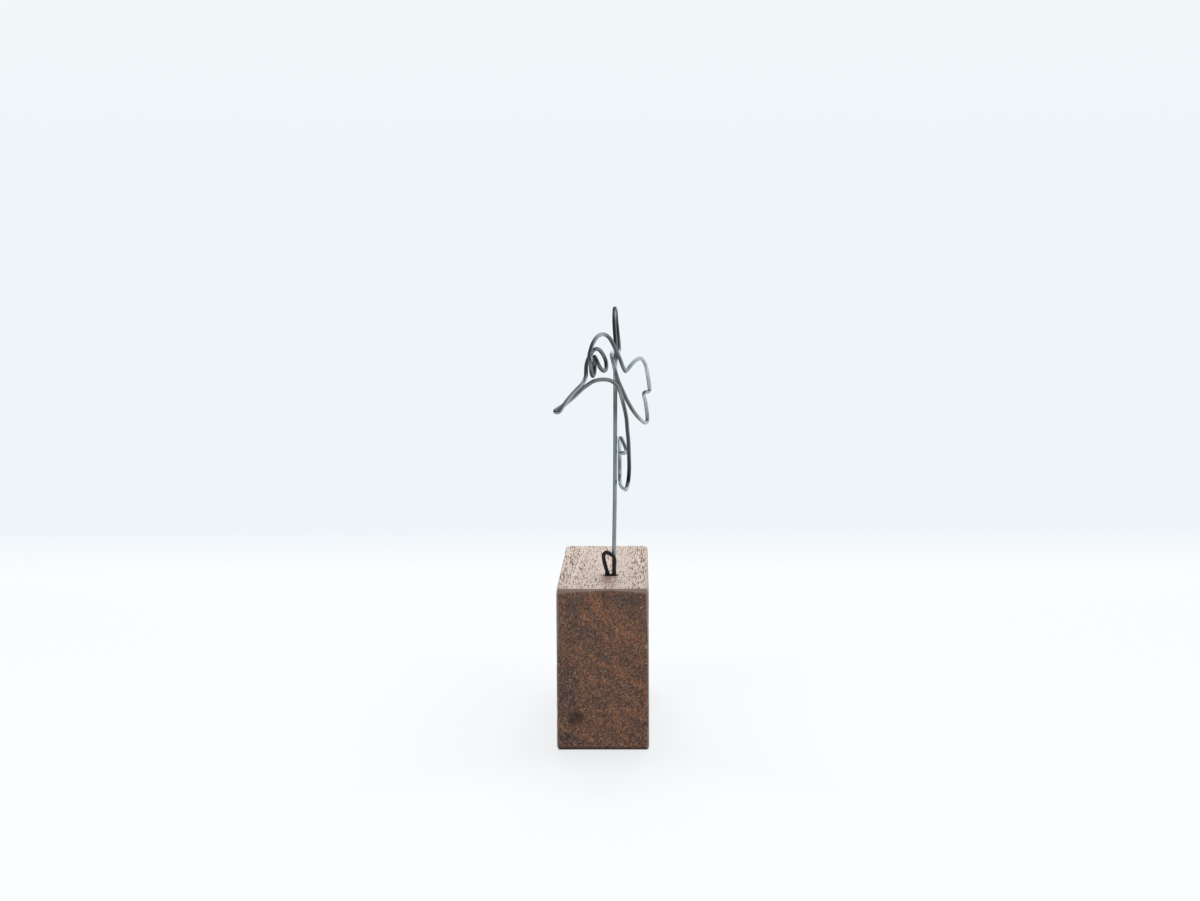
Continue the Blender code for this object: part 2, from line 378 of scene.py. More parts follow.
# ---------------------------------------------------------------- grids and pieces


def smooth_step(value, low, high):
    """0 up to low, 1 from high on, and a smooth step between."""
    share = np.clip((value - low) / (high - low), 0.0, 1.0)
    return share * share * (3.0 - 2.0 * share)


def crowded(count, pull, start=-1.0, end=1.0):
    """Steps from start to end, closer together near both: a hyperbolic tangent of even steps."""
    even = np.linspace(-1.0, 1.0, count)
    eased = np.tanh(pull * even) / math.tanh(pull)
    return start + (end - start) * (eased + 1.0) / 2.0


def ripple(points, wavelength, seed, stretch=(1.0, 1.0, 1.0), waves=28):
    """Smooth irregular relief of about -1 to 1: plane waves in scattered directions, added up."""
    scatter = np.random.default_rng(seed)
    headings = scatter.normal(size=(waves, 3))
    headings /= np.linalg.norm(headings, axis=1)[:, None]
    lengths = wavelength * scatter.uniform(0.75, 1.6, waves)
    phases = scatter.uniform(0.0, 2.0 * math.pi, waves)
    turns = (points / np.array(stretch)) @ (headings / lengths[:, None]).T
    return np.cos(2.0 * math.pi * turns + phases).sum(axis=1) / math.sqrt(2.0 * waves)


def sleeve_faces(rows, columns):
    """Faces of a grid that closes on itself round its rows, with one more point at each end.

    Points are numbered row by row; the first end's point comes after the grid, the last end's
    after that.
    """
    row = np.arange(rows - 1)[:, None] * columns
    column = np.arange(columns)[None, :]
    following = (column + 1) % columns
    quads = np.stack(
        [row + column, row + following, row + columns + following, row + columns + column], axis=-1
    ).reshape(-1, 4)
    first_end = rows * columns
    last_end = first_end + 1
    column = column.ravel()
    following = following.ravel()
    last_row = (rows - 1) * columns
    opening = np.stack([np.full(columns, first_end), following, column], axis=-1)
    closing = np.stack([last_row + column, last_row + following, np.full(columns, last_end)], axis=-1)
    return quads, np.vstack([opening, closing])


def make_piece(name, points, faces, attributes, material):
    """A mesh object at the origin from points in metres, faces and named values on its points."""
    mesh = bpy.data.meshes.new(name)
    mesh.vertices.add(len(points))
    mesh.vertices.foreach_set("co", points.astype(np.float32).ravel())
    corners = np.concatenate([group.ravel() for group in faces]).astype(np.int32)
    sides = np.concatenate([np.full(len(group), group.shape[1]) for group in faces]).astype(np.int32)
    starts = np.concatenate([[0], np.cumsum(sides)[:-1]]).astype(np.int32)
    mesh.loops.add(len(corners))
    mesh.loops.foreach_set("vertex_index", corners)
    mesh.polygons.add(len(sides))
    mesh.polygons.foreach_set("loop_start", starts)
    mesh.polygons.foreach_set("use_smooth", np.ones(len(sides), bool))
    mesh.update(calc_edges=True)
    for title, values in attributes.items():
        kind = "FLOAT_VECTOR" if values.ndim == 2 else "FLOAT"
        layer = mesh.attributes.new(title, kind, "POINT")
        layer.data.foreach_set("vector" if values.ndim == 2 else "value", values.astype(np.float32).ravel())
    if mesh.validate():
        raise RuntimeError(f"the mesh of {name} had faces to repair")
    mesh.materials.append(material)
    piece = bpy.data.objects.new(name, mesh)
    bpy.context.scene.collection.objects.link(piece)
    return piece


# ---------------------------------------------------------------- the walnut block


def block_sizes():
    """The block's half sizes and the height of its middle, in millimetres."""
    half = np.array(BLOCK_HIGH - BLOCK_LOW) / 2.0 / MM
    return half, half[2]


def sharp_outline(half):
    """Corners and sides of the block's plan, counter-clockwise, with columns crowded at corners."""
    front = crowded(END_POINTS, 1.5)[:-1] * half[0]
    side = crowded(SIDE_POINTS, 1.9)[:-1] * half[1]
    x = np.concatenate([front, np.full(len(side), half[0]), -front, np.full(len(side), -half[0])])
    y = np.concatenate([np.full(len(front), -half[1]), side, np.full(len(front), half[1]), -side])
    return np.stack([x, y], axis=-1)


def wear_of_edges(points, half, height, edge):
    """How far the sanding reaches along each axis from an edge, and how flat the worn strip is.

    The radii start at the block's ordinary edge rounding. The front edge of the top is sanded
    down further towards its two ends, the right end of the back is worn round, and the corners
    at the bottom are a little rounder.
    """
    x, y, z = points.T
    uneven = 1.0 + 0.22 * ripple(points, 16.0, seed=11)
    radii = np.repeat((edge * uneven)[:, None], 3, axis=1)
    top = smooth_step(z, height, height + half[2] - 1.0)
    front = smooth_step(-y, half[1] - 5.0, half[1])
    back = smooth_step(y, half[1] - 16.0, half[1])
    right = smooth_step(x, half[0] - 9.0, half[0])
    left_share = np.clip(-x / half[0], 0.0, 1.0) ** 2.2
    right_share = np.clip(x / half[0], 0.0, 1.0) ** 2.2
    sanded = top * front
    radii[:, 2] += sanded * (0.10 + 1.05 * left_share + 0.75 * right_share)
    radii[:, 1] += sanded * (0.05 + 0.35 * left_share + 0.25 * right_share)
    worn = top * right * back
    radii[:, 0] += worn * 0.7
    radii[:, 1] += worn * 0.7
    radii[:, 2] += worn * 0.4
    foot = smooth_step(-z, -2.5, 0.0)
    ends = smooth_step(np.abs(x), half[0] - 3.0, half[0])
    radii[:, 0] += foot * ends * 0.45
    radii[:, 2] += foot * ends * 0.35 - foot * (1.0 - ends) * 0.15
    flatness = 2.0 - 0.86 * sanded
    return radii, flatness


def round_edges(points, half, height, edge):
    """Sharp box to worn block: each point keeps its nearest point of a smaller inner box, and its
    way out from there is scaled to unit length in a norm between a chamfer's and a circle's."""
    centre = np.array([0.0, 0.0, height])
    radii, flatness = wear_of_edges(points, half, height, edge)
    offset = points - centre
    inner = np.clip(offset, radii - half, half - radii)
    way = (offset - inner) / radii
    norm = (np.abs(way) ** flatness[:, None]).sum(axis=1) ** (1.0 / flatness)
    way /= np.maximum(norm, 1e-9)[:, None]
    normal = np.sign(way) * np.abs(way) ** (flatness[:, None] - 1.0) / radii
    normal /= np.maximum(np.linalg.norm(normal, axis=1), 1e-9)[:, None]
    return centre + inner + way * radii, normal


def grain_of(points):
    """Place in the tree for each point: distance from the pith, way round it, and along the trunk.

    The distance is warped by slow ripples that run much further along the grain than across it.
    """
    right = points[:, 0] - PITH[0]
    up = points[:, 2] - PITH[1]
    distance = np.hypot(right, up)
    warp = 0.9 * ripple(points, 17.0, seed=21, stretch=(1.0, 5.0, 1.0))
    warp += 0.35 * ripple(points, 6.0, seed=22, stretch=(1.0, 6.0, 1.0))
    middle = math.hypot(*PITH)
    around = np.arctan2(right, -up) * middle
    return np.stack([distance + warp, around, points[:, 1]], axis=-1)


def growth_band(distance):
    """Light and dark growth bands, 0 to 1: waves of unlike lengths along the pith's distance."""
    waves = (
        0.9 * np.cos(2.0 * math.pi * distance / 3.7)
        + 0.6 * np.cos(2.0 * math.pi * distance / 5.9 + 1.0)
        + 0.5 * np.cos(2.0 * math.pi * distance / 2.3 + 2.2)
        + 0.6 * np.cos(2.0 * math.pi * distance / 13.0 + 0.4)
    )
    return 0.5 + 0.5 * np.tanh(0.9 * waves)


def dents(points, half, height):
    """Small knocks along the edges: smooth hollows scattered on them, and one chip at the front."""
    scatter = np.random.default_rng(5)
    knocks = [((half[0], -half[1], 30.4), 0.7, 0.35), ((-half[0], -half[1], 11.0), 0.9, 0.12)]
    for _ in range(34):
        spot = scatter.uniform(-1.0, 1.0, 3) * half
        pair = scatter.choice(3, 2, replace=False)
        spot[pair] = np.sign(spot[pair]) * half[pair]
        spot[2] += height
        knocks.append((tuple(spot), scatter.uniform(0.5, 1.5), scatter.uniform(0.05, 0.22)))
    depth = np.zeros(len(points))
    for spot, radius, deep in knocks:
        distance = np.linalg.norm(points - np.array(spot), axis=1)
        depth += deep * np.exp(-(distance / radius) ** 2)
    return depth


def block_grid(settings):
    """The block's whole skin as rows of one sleeve, each row a loop of the same columns.

    From the middle of the hole's floor the rows go out to its wall, up it and over its rim. On
    the top each row lies a share of the way from the rim's circle to the block's outline. The
    rows then go down the four sides and in to the middle of the underside.
    """
    half, height = block_sizes()
    outline = sharp_outline(half)
    hole = np.array([settings.hole_right, -settings.hole_front]) / MM
    radius = settings.hole_diameter / 2.0 / MM
    depth = settings.hole_depth / MM
    rim = settings.rim / MM
    top = 2.0 * height
    way = outline - hole
    way /= np.linalg.norm(way, axis=1)[:, None]
    angle = np.arctan2(way[:, 1], way[:, 0])
    ragged = 1.0 + 0.016 * np.cos(5.0 * angle + 0.7)
    ragged += 0.012 * np.cos(11.0 * angle) + 0.008 * np.cos(23.0 * angle)

    def circle(size, level):
        flat = hole + way * np.reshape(size, (-1, 1))
        return np.column_stack([flat, np.full(len(flat), level)])

    rows = [circle(radius * share, top - depth) for share in (0.35, 0.7, 0.97)]
    rows += [circle(radius, level) for level in np.linspace(top - depth + 0.1, top - 0.6, 9)]
    rows += [
        circle(radius * ragged + rim * (1.0 - math.cos(turn)), top - rim * (1.0 - math.sin(turn)))
        for turn in np.linspace(0.0, math.pi / 2.0, 6)
    ]
    inside = len(rows)
    start = hole + way * (radius * ragged + rim)[:, None]
    for share in crowded(TOP_ROWS, 1.9, 0.0, 1.0)[1:]:
        flat = start + (outline - start) * share
        rows.append(np.column_stack([flat, np.full(len(flat), top)]))
    for level in crowded(DOWN_ROWS, 1.5, top, 0.0)[1:]:
        rows.append(np.column_stack([outline, np.full(len(outline), level)]))
    for share in crowded(UNDER_ROWS, 1.9, 1.0, -1.0)[1:UNDER_ROWS // 2]:
        rows.append(np.column_stack([outline * share, np.zeros(len(outline))]))
    ends = [np.array([*hole, top - depth]), np.array([0.0, 0.0, 0.0])]
    points = np.vstack(rows + ends)
    in_hole = np.zeros(len(points), bool)
    in_hole[: inside * len(outline)] = True
    in_hole[-2] = True
    return points, in_hole, len(rows), len(outline), half, height, hole, radius


def block_surface(settings):
    """The block's points in metres, the values that its finish reads at each, and the faces.

    Each point of the rounded block sinks along its normal by two sets of ripples that run with
    the grain, by the soft wood between growth bands on the long faces, and by the dents.
    """
    points, in_hole, rows, columns, half, height, hole, radius = block_grid(settings)
    worn, normal = round_edges(points, half, height, settings.edge / MM)
    normal[in_hole] = 0.0
    points = np.where(in_hole[:, None], points, worn)
    grain = grain_of(points)
    band = growth_band(grain[:, 0])
    from_rim = np.linalg.norm(points[:, :2] - hole, axis=1) - radius
    long_face = 1.0 - smooth_step(normal[:, 1] ** 2, 0.05, 0.4)
    hollow = 0.015 + 0.015 * ripple(points, 24.0, seed=31, stretch=(1.0, 2.5, 1.0))
    hollow += 0.006 * ripple(points, 3.2, seed=32, stretch=(1.0, 6.0, 1.0))
    hollow += 0.016 * long_face * (1.0 - band)
    hollow += dents(points, half, height)
    on_top = smooth_step(points[:, 2], 2.0 * height - 1.5, 2.0 * height - 0.5)
    hollow *= 1.0 - on_top * smooth_step(-from_rim, -1.2, 0.0)
    points = points - normal * np.maximum(hollow, 0.0)[:, None]

    squares = normal ** 2
    front_top = smooth_step(-points[:, 1], half[1] - 4.0, half[1] - 3.0)
    front_top *= smooth_step(points[:, 2], height, 1.5 * height)
    front_of_hole = np.exp(-((points[:, 0] - hole[0] + 0.4) / 2.6) ** 2)
    front_of_hole *= smooth_step(hole[1] - points[:, 1], -1.0, 3.0)
    front_of_hole *= 1.0 - 0.55 * smooth_step(hole[1] - points[:, 1], 12.0, 29.0)
    attributes = {
        "grain": grain,
        "band": band,
        "end_grain": smooth_step(squares[:, 1], 0.12, 0.45),
        "flank": smooth_step(squares[:, 0], 0.2, 0.8),
        # Rounded edges: real rubbing and a painted highlight
        "edge_wear_and_highlight": smooth_step(1.0 - squares.max(axis=1), 0.08, 0.42),
        # The sanded strip, whose colour also carries painted light
        "sanded": front_top * smooth_step(-normal[:, 1] * normal[:, 2], 0.12, 0.30),
        "stain": on_top * front_of_hole,
        "soot": on_top * np.exp(-(np.maximum(from_rim, 0.0) / 0.55) ** 2),
        # The hole's inside, whose wood is painted dark as shade
        "in_hole": in_hole.astype(float),
    }
    return points * MM, attributes, sleeve_faces(rows, columns)


def marks(tree, place, strokes, operation):
    """Soft-edged strokes on the front end of the block, joined by a Math node, from a list of
    (share, right, up, half length, half width, tilt) in millimetres and radians."""
    total = None
    for share, right, up, half_length, half_width, tilt in strokes:
        sockets = {
            "Vector": place,
            "Location": (right * MM, 0.0, up * MM),
            "Rotation": (0.0, -tilt, 0.0),
            "Scale": (half_length * MM, 1.0, half_width * MM),
        }
        local = tree.add("ShaderNodeMapping", {"vector_type": "TEXTURE"}, sockets)
        flat = tree.vector_math("MULTIPLY", local, (1.0, 0.0, 1.0))
        length = tree.add("ShaderNodeVectorMath", {"operation": "LENGTH"}, {0: flat}, output="Value")
        stroke = length.ramp(1.15, 0.6) * share
        total = stroke if total is None else tree.math(operation, total, stroke)
    return total


# Growth rings of the front end: warm bands count up, dark places down
FRONT_BANDS = (
    (1.0, 1.1, 25.1, 13.5, 0.9, -0.50), (1.0, 7.9, 20.2, 6.3, 0.6, -0.52),
    (1.0, -0.8, 41.6, 5.9, 1.8, -1.00), (1.0, 6.8, 34.5, 5.1, 1.2, -0.54),
    (1.0, -4.9, 39.8, 5.0, 0.9, -0.88), (1.0, -3.9, 21.4, 3.5, 1.1, -0.92),
    (1.0, 9.0, 11.1, 4.8, 1.5, -0.48), (1.0, 3.9, 9.6, 6.0, 1.1, -1.10),
    (1.0, -5.2, 4.4, 4.4, 0.8, -0.65), (-0.7, -10.2, 18.5, 7.6, 3.2, 1.57),
    (-0.7, 7.0, 44.2, 5.6, 2.4, -0.10), (-0.7, -11.0, 3.0, 3.2, 2.0, 0.0),
    (-0.7, 0.2, 27.0, 3.0, 1.6, -0.80), (-0.7, 4.5, 42.4, 6.2, 0.3, -0.73),
    (-0.7, -8.2, 42.8, 3.0, 1.4, -0.90),
)

# Pale scratches and nicks of the front end, and the one burnt spot
FRONT_SCRATCHES = (
    (0.5, -3.1, 20.9, 1.1, 0.14, 0.05), (0.75, 5.6, 19.8, 0.42, 0.16, 0.9),
    (0.6, 7.0, 19.0, 1.3, 0.13, -0.18), (0.85, 11.2, 41.9, 0.30, 0.26, 0.5),
    (0.6, 3.9, 35.1, 0.30, 0.24, 0.2), (0.6, -12.1, 37.8, 0.26, 0.24, 0.0),
    (0.35, -5.9, 23.8, 0.55, 0.12, 1.1), (0.5, -7.7, 30.2, 0.32, 0.20, 0.2),
    (0.3, -10.4, 12.7, 0.6, 0.12, 1.9), (0.35, -0.9, 16.5, 0.3, 0.2, 0.4),
    (1.0, 12.7, 30.4, 0.34, 0.42, 0.0),
)
FRONT_BURN = ((0.62, -7.9, 9.5, 2.8, 2.2, 0.3),)


def long_faces(tree, settings, grain, bent, fibres, place):
    """Colour and relief of the long faces, and where their vessels are.

    Vessels are dark dashes along the grain, crowded towards the top's two sides, and finer and
    fewer on the flanks. Fibres and wide streaks shade the wood between them.
    """
    band = tree.attribute("band")
    flank = tree.attribute("flank")
    across = tree.axes(place)[0] * (1.0 / (12.0 * MM))
    crowding = tree.noise(tree.stretched(grain, (0.16, 0.16, 0.03)))
    crowding = (crowding * 0.7 + (across * across).ramp(0.1, 0.9) * 0.35) * (1.0 - 0.75 * flank)
    distance, chance = tree.cells(tree.stretched(bent, (2.2, 2.2, 0.10)))
    vessels = (distance / (0.22 + 0.36 * crowding)).ramp(1.1, 0.6) * chance.above(0.12 + 0.30 * flank)
    fine = tree.dots(tree.stretched(bent, (3.3, 3.3, 0.20), (3.7, 1.3, 0.4)), 0.46, 0.24, 0.4)
    streaks = tree.noise(tree.stretched(bent, (0.50, 0.32, 0.02)), detail=3.0, roughness=0.55)
    figure = band * 0.3 + streaks * 0.9 + flank * (band - 0.15) * 0.45
    wood = tree.mix((figure + (fibres - 0.5) * 2.2).ramp(0.15, 1.2), settings.pale, settings.brown)
    wood = tree.mix(fine * 0.45, wood, settings.vessel)
    wood = tree.mix(vessels * 0.95, wood, settings.vessel)
    return wood, 0.0 - vessels - fine * 0.35, vessels


def sawn_ends(tree, settings, grain, grit, place):
    """Colour and relief of the sawn ends: warm bands and clouds over dark wood, with pores and
    freckles. The front end has its own bands, scratches and burn, the back end plain rings."""
    front = tree.axes(place)[1].ramp(0.0, -1.0 * MM)
    patch = tree.noise(tree.stretched(grain, (0.42, 0.15, 0.03)), detail=5.0, roughness=0.7)
    curled = tree.stretched(grain, (1.5, 1.1, 0.3))
    curls = tree.noise(curled, detail=3.0, roughness=0.8, distortion=1.4)
    _, speck = tree.cells(tree.stretched(grain, (2.1, 2.1, 0.4), (4.4, 9.1, 0.0)))
    bands = marks(tree, place, FRONT_BANDS, "ADD") * front * (0.35 + 1.1 * curls)
    rings = tree.attribute("band") * (0.55 - 0.45 * front)
    clouds = (patch * 1.05 + (curls - 0.5) * 1.7) * (0.55 + 0.45 * front)
    # Painted shade: the back end is made darker and less warm than the front (the 0.32 and 0.8 shares),
    # against the strong light of the back lamp
    warmth = (rings + clouds + bands * 0.32).ramp(0.20, 1.05) * (0.32 + 0.68 * front)
    wood = tree.mix(warmth, settings.dark, settings.warm)
    texture = 1.05 + (grit - 0.5) * 2.8 + (speck - 0.5) * 0.95 + (curls - 0.5) * 0.6
    wood = tree.lit(wood, tree.math("MAXIMUM", texture, 0.3) * (0.8 + 0.2 * front))
    pores = tree.dots(tree.stretched(grain, (1.7, 1.7, 0.2), (0.3, 2.1, 5.0)), 0.40, 0.18, 0.35)
    wood = tree.mix(pores * 0.7, wood, tuple(0.28 * part for part in settings.dark))
    freckles = tree.dots(tree.stretched(grain, (1.4, 1.4, 0.2), (7.1, 0.6, 2.0)), 0.46, 0.16, 0.86)
    wood = tree.mix(freckles * (0.2 + 0.7 * front), wood, settings.freckle)
    scratches = marks(tree, place, FRONT_SCRATCHES, "MAXIMUM") * front
    wood = tree.mix(scratches, wood, SCRATCHED)
    wood = tree.mix(marks(tree, place, FRONT_BURN, "MAXIMUM") * front, wood, SCORCHED_AND_FOOT_SHADE)
    return wood, (curls - 0.5) * 0.55 - pores * 0.5 - scratches * 0.6


def make_walnut(settings):
    """Bare sanded walnut: one grain that runs through the block, with the wear of its edges and a
    painted highlight on them, the sanded strip painted lighter, the stain in front of the hole,
    soot round the hole, and painted shade inside it and along the block's foot."""
    tree = NodeTree(bpy.data.materials.new("bare_walnut"))
    grain = tree.attribute("grain", "Vector")
    end_grain = tree.attribute("end_grain")
    place = tree.place()
    wander = tree.noise(tree.stretched(grain, (0.16, 0.16, 0.05)), detail=1.0)
    sway = tree.add("ShaderNodeCombineXYZ", None, {"X": wander * 1.6, "Y": wander * 1.1})
    bent = tree.vector_math("ADD", grain, sway)
    fibres = tree.noise(tree.stretched(bent, (2.2, 2.2, 0.10)), detail=4.0, roughness=0.62)
    grit = tree.noise(tree.stretched(grain, (2.4, 2.4, 0.4)), roughness=0.6)
    long_wood, long_relief, vessels = long_faces(tree, settings, grain, bent, fibres, place)
    end_wood, end_relief = sawn_ends(tree, settings, grain, grit, place)

    wood = tree.mix(end_grain, long_wood, end_wood)
    # Rubbed edges: real wear, and a painted highlight where the rounded edges catch light
    wood = tree.mix(tree.attribute("edge_wear_and_highlight") * (0.45 + 0.7 * grit), wood, settings.rubbed)
    # Sanded strip: paler sanded wood, painted lighter still as painted light on it
    wood = tree.mix(tree.attribute("sanded") * (0.45 + 0.8 * fibres), wood, settings.facet_and_painted_light)
    stained = tree.noise(tree.stretched(grain, (0.5, 0.5, 0.12))) * 1.2
    stained = tree.attribute("stain") * stained.ramp(0.15, 0.8) * 0.85
    wood = tree.mix(stained, wood, settings.stain)
    # Painted shade along the block's foot, over its lowest millimetre
    wood = tree.mix(tree.axes(place)[2].ramp(1.0 * MM, 0.5 * MM) * 0.85, wood, SCORCHED_AND_FOOT_SHADE)
    wood = tree.mix(tree.attribute("soot") * 0.9, wood, SOOT_AND_HOLE_SHADE)
    # Painted shade inside the hole
    wood = tree.mix(tree.attribute("in_hole") * 0.9, wood, SOOT_AND_HOLE_SHADE)
    relief = (1.0 - end_grain) * long_relief + end_grain * end_relief + (fibres - 0.5) * 0.35
    tree.set_shader(
        Base_Color=wood,
        Roughness=settings.roughness + (fibres - 0.5) * 0.2 + vessels * 0.2 + end_grain * 0.08,
        Normal=tree.bump(relief, 0.06 * MM, 0.8),
        IOR=1.45,
        Specular_IOR_Level=0.42,
    )
    return tree.owner


# ---------------------------------------------------------------- the wires' routes


def in_body_plane(forward, up, aside=0.0):
    """A point of the body plane as (right, back, up) millimetres from the post's foot."""
    right = BODY_RIGHT - forward * math.sin(BODY_TURN) + aside * math.cos(BODY_TURN)
    back = BODY_BACK - forward * math.cos(BODY_TURN) - aside * math.sin(BODY_TURN)
    return (right, back, up)


def unit(vector):
    """The vector at a length of one."""
    return vector / np.linalg.norm(vector)


def bend(before, corner, after, radius):
    """Points round a corner, on the arc that meets both of its straight sides."""
    corner = np.array(corner)
    to_before = unit(np.array(before) - corner)
    to_after = unit(np.array(after) - corner)
    half = math.acos(np.dot(to_before, to_after)) / 2.0
    inward = unit(to_before + to_after)
    along = unit(to_after - to_before)
    centre = corner + inward * radius / math.sin(half)
    sweep = math.pi / 2.0 - half
    return [
        tuple(centre + radius * (along * math.sin(angle) - inward * math.cos(angle)))
        for angle in np.linspace(-sweep, sweep, POINTS_PER_BEND)
    ]


def post():
    """From the bottom of the hole, a hair off plumb, up to the shoulder."""
    return [
        (0.0, 0.0, -POST_IN_HOLE), (0.0, 0.0, 0.0), (0.4, 0.0, 23.0), (0.6, 0.0, 40.0),
        (0.65, 0.0, 54.0), (0.7, 0.0, 63.5),
    ]


def raised_wing():
    """Leading edge up and back, a narrow tip, and the trailing edge down behind it."""
    return [
        (0.88, 0.6, 67.5), (0.7, 3.0, 71.2), (0.4, 6.3, 75.4), (0.35, 9.4, 78.8),
        (0.5, 11.7, 80.33), (0.75, 13.4, 79.4), (0.95, 13.9, 76.5), (1.35, 13.2, 72.5),
        (1.75, 11.9, 69.0), (1.75, 10.0, 67.2),
    ]


def spread_wing():
    """Past the shoulder, down the trailing edge, round the stepped tip and back to the neck."""
    shoulder = [(0.7, 6.0, 67.2), (-0.25, 2.4, 67.3), (-0.4, 0.25, 66.6), (0.0, -1.15, 64.9)]
    trailing_edge = [
        (0.6, -1.45, 62.2), (1.5, -1.15, 59.1), (2.85, 0.9, 55.8), (4.35, 4.3, 52.3),
        (6.4, 8.5, 48.6), (8.4, 12.8, 46.0), (9.7, 15.9, 44.95),
    ]
    lower_corner = [(10.3, 17.4, 45.3), (10.35, 17.7, 47.0), (9.9, 17.4, 50.6)]
    leading_edge = [
        (10.85, 17.9, 57.2), (10.4, 17.4, 60.2), (9.75, 16.4, 63.0), (8.6, 14.7, 64.8),
        (7.1, 12.1, 64.6), (5.4, 8.5, 63.15), (4.2, 5.6, 61.75),
    ]
    notch_inside = (9.1, 16.6, 54.4)
    notch_outside = (11.19, 18.2, 54.4)
    notch = bend(lower_corner[-1], notch_inside, notch_outside, NOTCH_BEND)
    notch += bend(notch_inside, notch_outside, leading_edge[0], NOTCH_BEND)
    return shoulder + trailing_edge + lower_corner + notch + leading_edge


def head():
    """Up the nape and over the crown to the face: (forward, up, aside) in the body plane."""
    nape = [(-3.9, 61.6), (-2.2, 63.0, 0.1), (-0.3, 64.9, 0.4), (1.2, 66.6, 0.45), (3.3, 69.5, 0.1)]
    crown = [(6.0, 72.0), (9.5, 73.2), (13.2, 72.7), (16.2, 70.7), (17.6, 68.7)]
    return [in_body_plane(*point) for point in nape + crown]


def eye():
    """Two turns of the wire: each runs down its near side, up its far side and over its top."""
    inner = [
        (-6.75, -15.5, 67.6), (-6.65, -15.95, 65.95), (-6.4, -15.85, 64.35), (-6.25, -15.1, 62.6),
        (-6.1, -14.1, 61.5), (-5.85, -13.0, 61.05), (-5.55, -11.9, 61.5), (-5.35, -11.1, 62.75),
        (-5.35, -10.85, 64.2), (-5.45, -11.2, 65.6), (-5.5, -12.1, 66.5), (-5.35, -13.2, 66.8),
        (-5.05, -14.2, 66.5),
    ]
    outer = [
        (-4.6, -14.85, 65.7), (-4.05, -15.05, 64.4), (-3.4, -14.55, 63.3), (-2.65, -13.2, 62.6),
        (-2.05, -11.7, 62.85), (-1.85, -10.6, 63.8), (-2.0, -10.0, 65.2), (-2.5, -9.95, 66.6),
        (-3.2, -10.4, 67.85), (-4.0, -11.2, 68.75), (-4.85, -12.0, 69.05),
    ]
    return inner + outer


def cheek():
    """From the top of the outer turn, across behind the face, and down beside it to the beak."""
    return [
        (-5.65, -12.5, 68.6), (-6.55, -12.7, 67.35), (-7.25, -13.2, 65.9), (-7.7, -14.1, 64.25),
        (-7.8, -14.9, 62.55), (-7.85, -15.6, 61.25), (-8.25, -16.8, 60.1),
    ]


def beak():
    """Out along one strand, round the hairpin and back along the other.

    Each strand keeps its offset from the beak's centre line, at an angle that turns from base to
    tip, ever faster; the second strand is half a turn from the first.
    """
    base = np.array(BEAK_BASE)
    tip = np.array(BEAK_TIP)
    along = unit(tip - base)
    across = unit(np.cross(along, (0.0, 0.0, 1.0)))
    rise = np.cross(across, along)

    def offset(share, half_turns):
        angle = BEAK_TWIST[0] + (BEAK_TWIST[1] - BEAK_TWIST[0]) * share ** 2 + math.pi * half_turns
        size = STRAND_OFFSET[0] + (STRAND_OFFSET[1] - STRAND_OFFSET[0]) * share
        return (math.cos(angle) * across + math.sin(angle) * rise) * size

    shares = np.linspace(0.0, 1.0, BEAK_STATIONS)
    out = [base + (tip - base) * share + offset(share, 0) for share in shares]
    reach = along * STRAND_OFFSET[1]
    turns = np.radians((36.0, 72.0, 108.0, 144.0))
    hairpin = [tip + offset(1.0, 0) * math.cos(turn) + reach * math.sin(turn) for turn in turns]
    back = [base + (tip - base) * share + offset(share, 1) for share in shares[::-1]]
    return [tuple(point) for point in out + hairpin + back]


def breast():
    """From the beak's root in an arch under the head to the front of the post."""
    arch = [(20.1, 58.4, -0.1), (18.1, 59.05), (15.3, 59.6), (11.0, 59.8), (6.5, 59.4), (4.1, 58.75, 0.1)]
    return [in_body_plane(*point) for point in arch]


def belly():
    """Down beside the post and gently forward, to the corner of the tail."""
    return [
        (1.2, -2.0, 57.6), (2.0, -1.3, 55.9), (2.75, -0.9, 53.3), (3.45, -1.2, 50.5),
        (4.0, -1.8, 47.8), (4.3, -2.6, 44.3), (4.6, -3.5, 41.0), (4.75, -4.7, 36.8),
        (4.8, -6.0, 32.6), (4.5, -7.4, 29.2),
    ]


def tail():
    """Along the end of the tail, up its back edge and round into a small closed hook."""
    corner = bend((4.65, -6.8, 30.6), (3.95, -8.85, 26.45), (2.5, -4.0, 27.3), TAIL_BEND)
    end_edge = [(2.5, -4.0, 27.3), (2.05, 0.0, 28.2), (1.95, 1.3, 29.6)]
    back_edge = [(1.95, 1.6, 32.4), (1.95, 1.8, 36.5)]
    hook_top = bend(back_edge[-1], (1.95, 1.3, 42.3), (3.6, -1.9, 39.8), TAIL_BEND)
    hook_end = bend((3.3, -1.3, 40.4), (4.2, -3.0, 37.3), (1.95, 0.3, 37.1), TAIL_BEND)
    wire_end = [(2.65, -0.7, 37.1), (1.95, 0.3, 37.1)]
    return corner + end_edge + back_edge + hook_top + hook_end + wire_end


